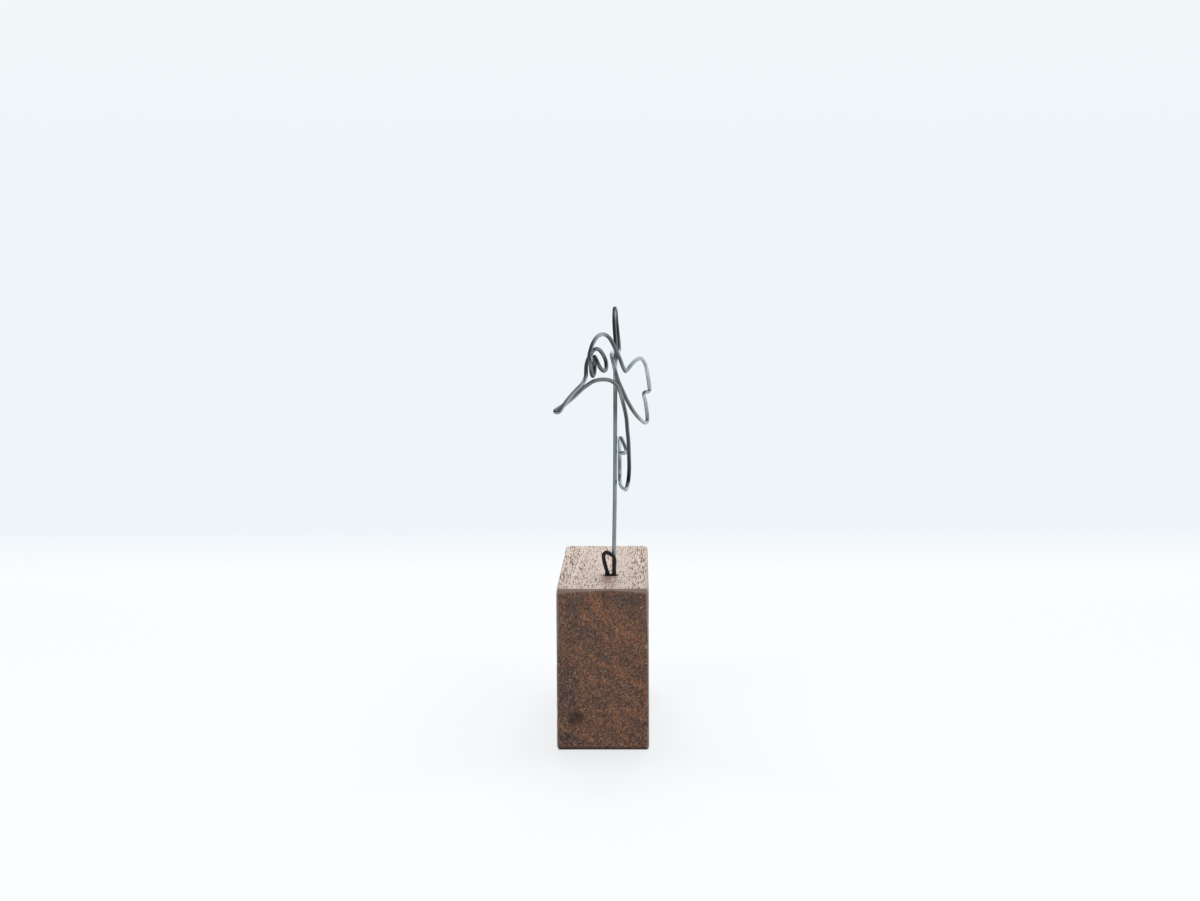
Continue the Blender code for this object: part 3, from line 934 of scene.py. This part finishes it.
def bird_grips():
    """Where pliers held the bird's wire: (place, turn round the wire, half length)."""
    return (
        ((0.6, 0.0, 61.0), 0.4, 1.1),
        ((0.4, 9.9, 79.3), 1.9, 0.9),
        ((1.45, 12.4, 70.2), 0.3, 1.0),
        ((-0.2, 2.0, 67.3), 2.2, 1.0),
        ((9.2, 15.0, 45.2), 1.0, 0.9),
        ((10.1, 17.5, 49.2), 0.2, 0.9),
        ((10.9, 17.9, 57.4), 1.4, 0.9),
        ((4.0, 5.3, 61.6), 2.5, 1.0),
        (in_body_plane(17.0, 69.8), 0.8, 0.9),
        ((-8.6, -17.6, 59.2), 1.7, 0.8),
        (in_body_plane(4.9, 59.0), 0.5, 0.9),
        ((4.75, -6.6, 31.2), 1.2, 0.9),
        ((2.1, -0.6, 28.0), 2.6, 0.9),
        ((1.95, 1.75, 38.6), 0.9, 0.9),
    )


def small_loop():
    """Up out of the hole, over a slanting top and down in front of the post."""
    return [
        (-1.85, -0.85, -LOOP_IN_HOLE), (-1.85, -0.85, 0.0), (-2.4, -0.95, 2.4), (-3.0, -1.05, 4.9),
        (-3.05, -1.1, 6.1), (-2.35, -1.2, 6.95), (-1.3, -1.3, 6.6), (-0.2, -1.45, 5.9),
        (0.25, -1.55, 4.9), (0.2, -1.65, 2.6), (0.1, -1.7, 0.0), (0.1, -1.7, -LOOP_IN_HOLE),
    ]


def smooth_curve(keys):
    """Centripetal Catmull-Rom curve through the key points, finely sampled."""
    keys = np.array(keys, dtype=float)
    keys = np.vstack([2.0 * keys[0] - keys[1], keys, 2.0 * keys[-1] - keys[-2]])
    shares = np.linspace(0.0, 1.0, SAMPLES_PER_KEY, endpoint=False)[:, None]
    stretches = []
    for first in range(len(keys) - 3):
        p0, p1, p2, p3 = keys[first:first + 4]
        t1 = math.sqrt(np.linalg.norm(p1 - p0))
        t2 = t1 + math.sqrt(np.linalg.norm(p2 - p1))
        t3 = t2 + math.sqrt(np.linalg.norm(p3 - p2))
        t = t1 + (t2 - t1) * shares
        a1 = p0 + (p1 - p0) * t / t1
        a2 = p1 + (p2 - p1) * (t - t1) / (t2 - t1)
        a3 = p2 + (p3 - p2) * (t - t2) / (t3 - t2)
        b1 = a1 + (a2 - a1) * t / t2
        b2 = a2 + (a3 - a2) * (t - t1) / (t3 - t1)
        stretches.append(b1 + (b2 - b1) * (t - t1) / (t2 - t1))
    return np.vstack(stretches + [keys[-2:-1]])


def even_out(path, longest_step, largest_turn):
    """The path again, with a point wherever it has run that far or turned that much."""
    steps = np.diff(path, axis=0)
    lengths = np.linalg.norm(steps, axis=1)
    headings = steps / lengths[:, None]
    cosines = np.clip(np.sum(headings[1:] * headings[:-1], axis=1), -1.0, 1.0)
    turns = np.concatenate([[0.0], np.arccos(cosines)])
    need = np.concatenate([[0.0], np.cumsum(lengths / longest_step + turns / largest_turn)])
    wanted = np.linspace(0.0, need[-1], math.ceil(need[-1]) + 1)
    return np.column_stack([np.interp(wanted, need, path[:, axis]) for axis in range(3)])


# ---------------------------------------------------------------- the wires' surfaces


def dot(first, second):
    """Dot products of two rows of vectors."""
    return np.sum(first * second, axis=-1, keepdims=True)


def mirrored(vectors, mirror):
    """Vectors after reflection in the planes that the mirror vectors stand on."""
    return vectors - 2.0 * dot(vectors, mirror) / dot(mirror, mirror) * mirror


def carried_frames(path):
    """Tangent and two cross directions at each point, turned no more than the path itself.

    Any cross direction is first taken at every point. Carried from one point to the next by two
    reflections, it meets the next point's at some angle; those angles, added up, are turned back.
    """
    tangent = np.gradient(path, axis=0)
    tangent /= np.linalg.norm(tangent, axis=1)[:, None]
    first = np.cross(tangent, unit(np.array((0.32, -0.83, 0.45))))
    first /= np.linalg.norm(first, axis=1)[:, None]
    second = np.cross(tangent, first)
    step = path[1:] - path[:-1]
    half_way = mirrored(tangent[:-1], step)
    carried = mirrored(mirrored(first[:-1], step), tangent[1:] - half_way)
    turns = np.arctan2(dot(carried, second[1:]), dot(carried, first[1:]))
    total = np.concatenate([[[0.0]], np.cumsum(turns, axis=0)])
    cosine, sine = np.cos(total), np.sin(total)
    return tangent, first * cosine + second * sine, second * cosine - first * sine


# How light the bird's iron is painted along the wire, a painted reflection: lighter stretches are
# painted highlights, darker ones painted dark reflections of its surroundings
# (millimetres from its lower end, share of its grey)
PAINTED_REFLECTION_ALONG = (
    (0.0, 1.0), (67.0, 1.05), (72.0, 0.5), (77.0, 0.8), (84.0, 3.0), (90.0, 0.45), (96.0, 0.4),
    (100.0, 0.45), (103.0, 1.2), (105.5, 0.25), (115.0, 0.35), (121.0, 1.2), (127.0, 3.0),
    (133.0, 3.0), (138.0, 0.6), (146.0, 0.6), (152.0, 0.65), (157.0, 0.9), (161.0, 1.75),
    (167.0, 1.4), (176.0, 1.7), (181.0, 1.5), (188.0, 2.1), (198.0, 1.0), (206.0, 0.8),
    (211.0, 0.6), (218.0, 0.4), (222.0, 1.35), (230.0, 0.8), (242.0, 0.5), (262.0, 0.65),
    (276.0, 1.15), (284.0, 1.15), (300.0, 1.05), (312.0, 0.45), (324.0, 0.65), (336.0, 1.1),
    (349.0, 0.9), (356.5, 0.12), (359.5, 3.0), (362.5, 3.0), (368.0, 1.9), (374.0, 1.8),
    (380.0, 2.5), (386.0, 1.9), (392.0, 2.6),
)


def plier_marks(path, run, angle, grips):
    """0 to 1 over the wire: a pair of opposite ribbed flats wherever pliers gripped it."""
    gripped = np.zeros((len(path), len(angle)))
    for spot, turn, length in grips:
        nearest = np.argmin(np.linalg.norm(path - np.array(spot), axis=1))
        past = (run - run[nearest])[:, None]
        jaw = np.exp(-((past / length) ** 4)) * np.abs(np.cos(angle - turn)) ** 10
        ribs = 0.72 + 0.28 * np.cos(2.0 * math.pi * past / RIB_PITCH)
        gripped = np.maximum(gripped, jaw * ribs)
    return gripped


def cut_ends(points, tangent, radius, angle):
    """The wire's rows with both ends cut on a slight slant, and two smaller rows over each cut."""
    slant = 0.22 * radius * (1.0 - np.cos(angle + 0.8))[:, None]
    caps = []
    for end, out in ((0, -tangent[0]), (-1, tangent[-1])):
        points[end] -= out * slant
        middle = points[end].mean(axis=0)
        way = points[end] - middle
        caps.append([middle + way * 0.62 + out * 0.075, middle + way * 0.93 + out * 0.04])
        points[end] -= out * 0.05
    return np.concatenate([caps[0], points, caps[1][::-1]])


def wire_surface(path, diameter, sides, grips, seed, foot=0.0):
    """A drawn wire along a path: a circle carried along it, with the marks of hands and tools.

    The circle is a little flatter across tight bends, dips in slow shallow ripples and under
    plier marks, and swells by a share, `foot`, where the wire leaves the block. Both ends are cut
    and closed. Each point also keeps its place on the wire as if that were drawn out straight.
    """
    radius = diameter / 2.0 / MM
    tangent, first, second = carried_frames(path)
    run = np.concatenate([[0.0], np.cumsum(np.linalg.norm(np.diff(path, axis=0), axis=1))])
    curving = np.gradient(tangent, axis=0) / np.gradient(run)[:, None]
    angle = np.linspace(0.0, 2.0 * math.pi, sides, endpoint=False)
    outward = first[:, None] * np.cos(angle)[:, None] + second[:, None] * np.sin(angle)[:, None]
    across_bend = np.sum(outward * curving[:, None, :], axis=2)
    size = radius * (1.0 - 0.028 * np.clip(np.abs(across_bend), 0.0, 1.2))
    size *= (1.0 + foot * np.exp(-((path[:, 2] / FOOT_HEIGHT) ** 2)))[:, None]
    circle = np.column_stack([np.cos(angle), np.sin(angle), np.zeros(sides)]) * radius
    straight = circle + run[:, None, None] * np.array([0.0, 0.0, 1.0])
    dips = ripple(straight.reshape(-1, 3), 2.4, seed, stretch=(1.0, 1.0, 3.0)).reshape(size.shape)
    gripped = plier_marks(path, run, angle, grips)
    size -= 0.006 * (1.0 + dips) + GRIP_DEPTH * gripped
    rows = cut_ends(path[:, None, :] + outward * size[:, :, None], tangent, radius, angle)

    ends = [rows[0].mean(axis=0), rows[-1].mean(axis=0)]
    straight = np.pad(straight, ((2, 2), (0, 0), (0, 0)), mode="edge").reshape(-1, 3)
    gripped = np.pad(gripped, ((2, 2), (0, 0)), mode="edge").ravel()
    attributes = {
        "straight": np.vstack([straight, [[0.0, 0.0, 0.0], [0.0, 0.0, run[-1]]]]),
        "gripped": np.concatenate([gripped, [0.0, 0.0]]),
    }
    quads, fans = sleeve_faces(len(rows), sides)
    return np.vstack([rows.reshape(-1, 3), ends]), attributes, (quads[:, ::-1], fans[:, ::-1])


def to_frame(points, walnut):
    """Wire points, millimetres from the post's foot, as metres in the frame."""
    foot = np.array([
        walnut.hole_right + POST_FROM_HOLE[0] * MM,
        -walnut.hole_front + POST_FROM_HOLE[1] * MM,
        BLOCK_HIGH[2],
    ])
    return points * MM + foot


def make_iron(settings):
    """Annealed iron wire: drawn lines along it, clouds of dark scale, first rust and brighter plier
    marks. Its grey is also scaled stretch by stretch, lighter or darker as a whole: painted
    highlights and painted dark reflections of its surroundings."""
    tree = NodeTree(bpy.data.materials.new("annealed_iron"))
    straight = tree.attribute("straight", "Vector")
    gripped = tree.attribute("gripped")
    clouds = tree.noise(tree.stretched(straight, (0.45, 0.45, 0.14)), detail=3.0, roughness=0.6)
    lines = tree.noise(tree.stretched(straight, (4.5, 4.5, 0.10)), detail=2.0, roughness=0.6)
    specks = tree.dots(tree.stretched(straight, (3.4, 3.4, 1.9)), 0.30, 0.12, 0.88)
    metal = tree.mix(clouds.ramp(0.40, 0.66), settings.grey, settings.scale)
    metal = tree.mix((lines - 0.5).ramp(0.0, 0.3) * 0.25, metal, settings.bright)
    metal = tree.mix(specks * 0.5, metal, settings.rust)
    metal = tree.mix(gripped * 0.45, metal, settings.bright)
    relief = (lines - 0.5) * 0.7 + (clouds - 0.5) * 0.3 - specks * 0.4
    # The grey is scaled by the painted reflections along the wire.
    tree.set_shader(
        Base_Color=tree.lit(metal, tree.attribute("shade")),
        Metallic=1.0,
        Roughness=settings.roughness + (clouds - 0.5) * 0.16 + (lines - 0.5) * 0.08 + specks * 0.2,
        Normal=tree.bump(relief, 0.002 * MM, 0.5),
    )
    return tree.owner


def make_black_coat(settings, top):
    """Black-coated wire, greyer and drier round the top of the loop: worn coat and a painted highlight."""
    tree = NodeTree(bpy.data.materials.new("black_coat"))
    straight = tree.attribute("straight", "Vector")
    height = tree.axes(tree.place())[2]
    clouds = tree.noise(tree.stretched(straight, (0.8, 0.8, 0.35)), detail=3.0, roughness=0.6)
    grit = tree.noise(tree.stretched(straight, (6.0, 6.0, 3.0)), detail=3.0, roughness=0.65)
    # Worn coat and a painted highlight round the top of the loop
    handled_and_lit = height.ramp(top - 3.2 * MM, top) * (clouds + (grit - 0.5) * 0.6).ramp(0.3, 0.62)
    tree.set_shader(
        Base_Color=tree.mix(handled_and_lit, settings.black, settings.worn),
        Metallic=handled_and_lit * 0.35,
        Roughness=settings.roughness + (grit - 0.5) * 0.2 + handled_and_lit * 0.08,
        Normal=tree.bump((grit - 0.5) * 0.6 + (clouds - 0.5) * 0.4, 0.016 * MM, 0.7),
    )
    return tree.owner


# ---------------------------------------------------------------- the stage


def make_sheet(name, low, high, level, material):
    """A level sheet between two corners, in metres."""
    mesh = bpy.data.meshes.new(name)
    plan = [(low[0], low[1]), (high[0], low[1]), (high[0], high[1]), (low[0], high[1])]
    mesh.from_pydata([(right, back, level) for right, back in plan], [], [(0, 1, 2, 3)])
    mesh.materials.append(material)
    sheet = bpy.data.objects.new(name, mesh)
    bpy.context.scene.collection.objects.link(sheet)
    return sheet


def make_floor(settings):
    """A white table lit from below through its paper, so that shadows on it stay faint. Its glow is
    painted dimmer near the block and black under it, a painted shadow. Far away the paper turns
    into the background's own colour."""
    tree = NodeTree(bpy.data.materials.new("lit_paper"))
    right, back, _ = tree.axes(tree.place())
    across = tree.math("ABSOLUTE", right)
    along = tree.math("ABSOLUTE", back)
    ground = tree.math("MAXIMUM", along, across * SIDE_SHARE).ramp(*GROUND_BLEND)
    away = tree.math("MAXIMUM", along - BLOCK_HIGH[1], across - BLOCK_HIGH[0])
    # Painted shade: the glow dimmer near the block and towards the back, and black under the block
    painted_dimming = 1.015 - 0.05 * away.ramp(*PAINTED_SHADOW_SPAN) - 0.055 * back.ramp(*GLOW_FALL)
    glow = tree.mix(away.ramp(*PAINTED_CONTACT_SHADOW), BLACK, tree.lit(settings.glow, painted_dimming))
    tree.set_shader(
        Base_Color=tree.mix(ground, settings.paper, BLACK),
        Emission_Color=tree.mix(ground, glow, settings.haze),
        Emission_Strength=1.0,
        Roughness=1.0,
        Specular_IOR_Level=0.0,
    )
    return tree.owner


def make_card(name, low, high, shade):
    """A plain card or cloth on the table, between two corners; only reflections show it."""
    tree = NodeTree(bpy.data.materials.new(name))
    tree.set_shader(Base_Color=BLACK, Emission_Color=(shade,) * 3, Emission_Strength=1.0)
    card = make_sheet(name, low, high, CARD_LIFT, tree.owner)
    card.visible_camera = False
    card.visible_diffuse = False
    card.visible_shadow = False


def make_world(settings):
    """A pale background for the camera, and a studio for the light: a window low on the right,
    a pale ceiling towards the back and the right, and dim walls."""
    tree = NodeTree(bpy.data.worlds.new("studio"))
    right, back, up = tree.axes(tree.add("ShaderNodeTexCoord", output="Generated"))
    ceiling = (right * 0.75 + back * 0.9).ramp(-0.12, 0.65)
    high = settings.gap + (settings.ceiling - settings.gap) * ceiling
    window = right.ramp(0.2, 0.5) * back.ramp(-0.45, -0.1)
    low = settings.wall + (1.0 - settings.wall) * back.ramp(0.80, 0.97) + settings.window * window
    level = low + (high - low) * up.ramp(0.22, 0.45)
    seen = tree.mix(up.ramp(0.0, 0.14), settings.haze, settings.high_haze)
    for_camera = tree.add("ShaderNodeLightPath", output="Is Camera Ray")
    colour = tree.mix(for_camera, tree.lit(settings.haze, level), seen)
    tree.feed(tree.nodes["Background"].inputs["Color"], colour)
    bpy.context.scene.world = tree.owner


def make_lamp(name, place, power):
    """A soft square lamp that looks at the block; reflections and the camera miss it."""
    lamp = bpy.data.objects.new(name, bpy.data.lights.new(name, "AREA"))
    lamp.data.shape = "SQUARE"
    lamp.data.size = LAMP_SIZE
    lamp.data.energy = power
    lamp.location = place
    lamp.rotation_euler = Vector(place).to_track_quat("Z", "Y").to_euler()
    lamp.visible_camera = False
    lamp.visible_glossy = False
    bpy.context.scene.collection.objects.link(lamp)


def make_camera(settings):
    """A long lens in front of the block and a little above it, tipped down and left."""
    camera = bpy.data.objects.new("camera", bpy.data.cameras.new("camera"))
    camera.data.lens = settings.lens
    camera.data.sensor_width = 36.0
    camera.data.clip_start = 0.01
    upright = math.pi / 2.0
    turned = Matrix.Rotation(-CAMERA_YAW, 4, "Z") @ Matrix.Rotation(upright - CAMERA_PITCH, 4, "X")
    rolled = turned @ Matrix.Rotation(CAMERA_ROLL, 4, "Z")
    camera.matrix_world = Matrix.Translation(CAMERA_PLACE) @ rolled
    bpy.context.scene.collection.objects.link(camera)
    bpy.context.scene.camera = camera


# ---------------------------------------------------------------- operators and panel


class WIREBIRD_OT_block(bpy.types.Operator):
    """Build the walnut block with its drilled hole, worn edges and grain"""

    bl_idname = "wirebird.block"
    bl_label = "Walnut Block"

    def execute(self, context):
        settings = context.scene.wirebird_walnut
        points, attributes, faces = block_surface(settings)
        block = make_piece("walnut_plinth", points, faces, attributes, make_walnut(settings))
        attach(block, "root")
        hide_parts("walnut_block")
        return {"FINISHED"}


class WIREBIRD_OT_bird(bpy.types.Operator):
    """Build the bird and its post from one annealed iron wire"""

    bl_idname = "wirebird.bird"
    bl_label = "Iron Bird"

    def execute(self, context):
        settings = context.scene.wirebird_iron
        stretches = (post, raised_wing, spread_wing, head, eye, cheek, beak, breast, belly, tail)
        keys = [point for stretch in stretches for point in stretch()]
        path = even_out(smooth_curve(keys), BIRD_STEP, LARGEST_TURN)
        sizes = (settings.diameter, settings.sides)
        points, attributes, faces = wire_surface(path, *sizes, bird_grips(), seed=41)
        # Painted reflections: how light the iron's grey is painted at each point, by its place along the
        # wire
        attributes["shade"] = np.interp(attributes["straight"][:, 2], *zip(*PAINTED_REFLECTION_ALONG))
        points = to_frame(points, context.scene.wirebird_walnut)
        bird = make_piece("iron_bird", points, faces, attributes, make_iron(settings))
        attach(bird, "root")
        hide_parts("bird_wire")
        return {"FINISHED"}


class WIREBIRD_OT_loop(bpy.types.Operator):
    """Build the small loop of black wire in front of the post"""

    bl_idname = "wirebird.loop"
    bl_label = "Black Loop"

    def execute(self, context):
        settings = context.scene.wirebird_black
        path = even_out(smooth_curve(small_loop()), LOOP_STEP, LARGEST_TURN)
        grips = [((-3.05, -1.1, 5.4), 0.9, 0.7), ((0.2, -1.55, 4.4), 0.4, 0.7)]
        sizes = (settings.diameter, settings.sides)
        points, attributes, faces = wire_surface(path, *sizes, grips, seed=43, foot=settings.foot)
        points = to_frame(points, context.scene.wirebird_walnut)
        coat = make_black_coat(settings, points[:, 2].max())
        loop = make_piece("black_loop", points, faces, attributes, coat)
        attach(loop, "root")
        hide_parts("base_loop")
        return {"FINISHED"}


class WIREBIRD_OT_stage(bpy.types.Operator):
    """Lay the paper floor, set the soft light and place the camera"""

    bl_idname = "wirebird.stage"
    bl_label = "Stage"

    def execute(self, context):
        settings = context.scene.wirebird_stage
        edge = (TABLE_REACH, TABLE_REACH)
        floor = make_sheet("paper_floor", (-TABLE_REACH, -TABLE_REACH), edge, 0.0, make_floor(settings))
        make_card("grey_card", (-CARD_REACH, -CARD_REACH), (CARD_REACH, CARD_REACH), settings.card)
        make_card("dark_cloth", *CLOTH_CORNERS, settings.cloth)
        make_world(settings)
        make_lamp("top_lamp", TOP_LAMP, settings.top_lamp)
        make_lamp("back_lamp", BACK_LAMP, settings.back_lamp)
        make_camera(settings)
        context.scene.view_settings.view_transform = "Standard"
        return {"FINISHED"}


class WIREBIRD_PT_sculpture(bpy.types.Panel):
    """Sizes, colours and the steps that build the sculpture"""

    bl_idname = "WIREBIRD_PT_sculpture"
    bl_label = "Wire Bird"
    bl_space_type = "VIEW_3D"
    bl_region_type = "UI"
    bl_category = "Wire Bird"

    def draw(self, context):
        for operator, holder in STEPS:
            box = self.layout.box()
            box.operator(operator.bl_idname)
            settings = getattr(context.scene, holder)
            for name in settings.bl_rna.properties.keys():
                if name not in ("rna_type", "name"):
                    box.prop(settings, name)


HOLDERS = {
    "wirebird_walnut": WalnutSettings,
    "wirebird_iron": IronSettings,
    "wirebird_black": BlackWireSettings,
    "wirebird_stage": StageSettings,
}
STEPS = [
    (WIREBIRD_OT_block, "wirebird_walnut"),
    (WIREBIRD_OT_bird, "wirebird_iron"),
    (WIREBIRD_OT_loop, "wirebird_black"),
    (WIREBIRD_OT_stage, "wirebird_stage"),
]
CLASSES = [*HOLDERS.values(), *(operator for operator, _ in STEPS), WIREBIRD_PT_sculpture]


def register():
    for cls in CLASSES:
        bpy.utils.register_class(cls)
    for holder, group in HOLDERS.items():
        setattr(bpy.types.Scene, holder, PointerProperty(type=group))


def unregister():
    for holder in HOLDERS:
        delattr(bpy.types.Scene, holder)
    for cls in reversed(CLASSES):
        bpy.utils.unregister_class(cls)


def main():
    register()
    bpy.ops.wirebird.block()
    bpy.ops.wirebird.bird()
    bpy.ops.wirebird.loop()
    bpy.ops.wirebird.stage()


if __name__ == "__main__":
    main()
